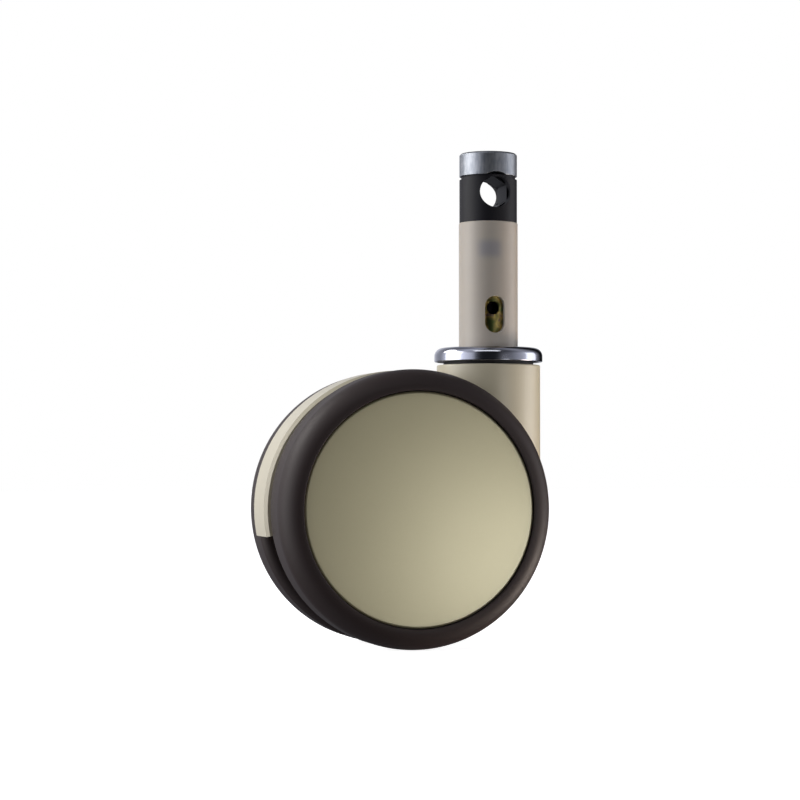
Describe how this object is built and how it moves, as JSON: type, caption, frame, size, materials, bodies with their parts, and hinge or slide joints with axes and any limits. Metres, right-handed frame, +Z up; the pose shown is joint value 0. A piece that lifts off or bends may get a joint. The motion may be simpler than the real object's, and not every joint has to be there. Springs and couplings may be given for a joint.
{
  "type": "twin wheel castor",
  "caption": "Swivelling twin wheel castor with a plug-in stem, a central locking cam and a covered hood between the wheels.",
  "frame": {"origin": "centre of the collar's top face, on the swivel axis, where the stem meets the frame's socket", "axes": "+Z up along the stem; +X ahead of the swivel axis, so the wheels trail towards -X; the axle is along Y"},
  "size_m": [0.1597, 0.096, 0.2715],
  "materials": {
    "chromate_steel": "yellow chromated, turned",
    "sleeve_plastic": "milky grey, satin moulded",
    "black_plastic": "satin black moulded",
    "zinc_plate": "bright zinc plated, turned",
    "collar_chrome": "polished chrome",
    "steel": "ground steel",
    "bearing_steel": "ground and polished",
    "spring_steel": "drawn wire",
    "cam_zinc": "zinc die cast",
    "bush_bronze": "sintered bronze",
    "seal_rubber": "satin rubber",
    "housing_paint": "satin beige over cast aluminium",
    "tyre_tread": "dark brown, satin",
    "core_plastic": "dark grey moulded nylon",
    "disc_plastic": "champagne metallic, semi gloss",
    "lining": "friction lining"
  },
  "bodies": {
    "stem": {"stem": "chromate_steel", "stem_sleeve": "sleeve_plastic", "cam_housing": "black_plastic", "housing_pin": "steel", "end_cap": "zinc_plate", "swivel_collar": "collar_chrome", "top_bearing_inner": "bearing_steel", "top_bearing_balls": "bearing_steel", "kingpin_washer": "steel", "kingpin_clip": "spring_steel", "return_spring": "spring_steel"},
    "cam": {"lock_cam": "cam_zinc"},
    "push_rod": {"push_rod": "steel"},
    "housing": {"swivel_housing": "housing_paint", "swivel_seal": "seal_rubber", "top_bearing_outer": "bearing_steel", "kingpin_bush": "bush_bronze", "axle": "steel", "axle_clips": "spring_steel", "lever_pin": "steel", "axle_spacer_near": "steel", "bearing_inner_near": "bearing_steel", "bearing_balls_near": "bearing_steel", "axle_spacer_far": "steel", "bearing_inner_far": "bearing_steel", "bearing_balls_far": "bearing_steel"},
    "brake": {"brake_lever": "steel", "brake_shoe": "steel", "brake_linings": "lining"},
    "wheel_near": {"bearing_outer_near": "bearing_steel", "tyre_near": "tyre_tread", "wheel_core_near": "core_plastic", "cover_disc_near": "disc_plastic", "brake_drum_near": "steel"},
    "wheel_far": {"bearing_outer_far": "bearing_steel", "tyre_far": "tyre_tread", "wheel_core_far": "core_plastic", "cover_disc_far": "disc_plastic", "brake_drum_far": "steel"}
  },
  "joints": [
    {"name": "cam_turn", "type": "hinge", "parent": "stem", "child": "cam", "pos_m": [0, 0, 0.0858], "axis": [0, 1, 0], "range_deg": [-30, 30]},
    {"name": "rod_slide", "type": "slide", "parent": "stem", "child": "push_rod", "axis": [0, 0, 1], "range_m": [-0.0015, 0.0015], "deforming": ["return_spring"]},
    {"name": "swivel", "type": "hinge", "parent": "stem", "child": "housing", "pos_m": [0, 0, 0], "axis": [0, 0, 1], "continuous": true},
    {"name": "brake_turn", "type": "hinge", "parent": "housing", "child": "brake", "pos_m": [-0.044, 0, -0.032], "axis": [0, 1, 0], "range_deg": [-1.95, 1.95]},
    {"name": "wheel_near_spin", "type": "hinge", "parent": "housing", "child": "wheel_near", "pos_m": [-0.052, 0, -0.0884], "axis": [0, 1, 0], "continuous": true},
    {"name": "wheel_far_spin", "type": "hinge", "parent": "housing", "child": "wheel_far", "pos_m": [-0.052, 0, -0.0884], "axis": [0, 1, 0], "continuous": true}
  ],
  "couplings": [
    {"joint": "cam_turn", "follows": "rod_slide", "rad_per_m": -349.07},
    {"joint": "brake_turn", "follows": "rod_slide", "rad_per_m": -22.718}
  ]
}
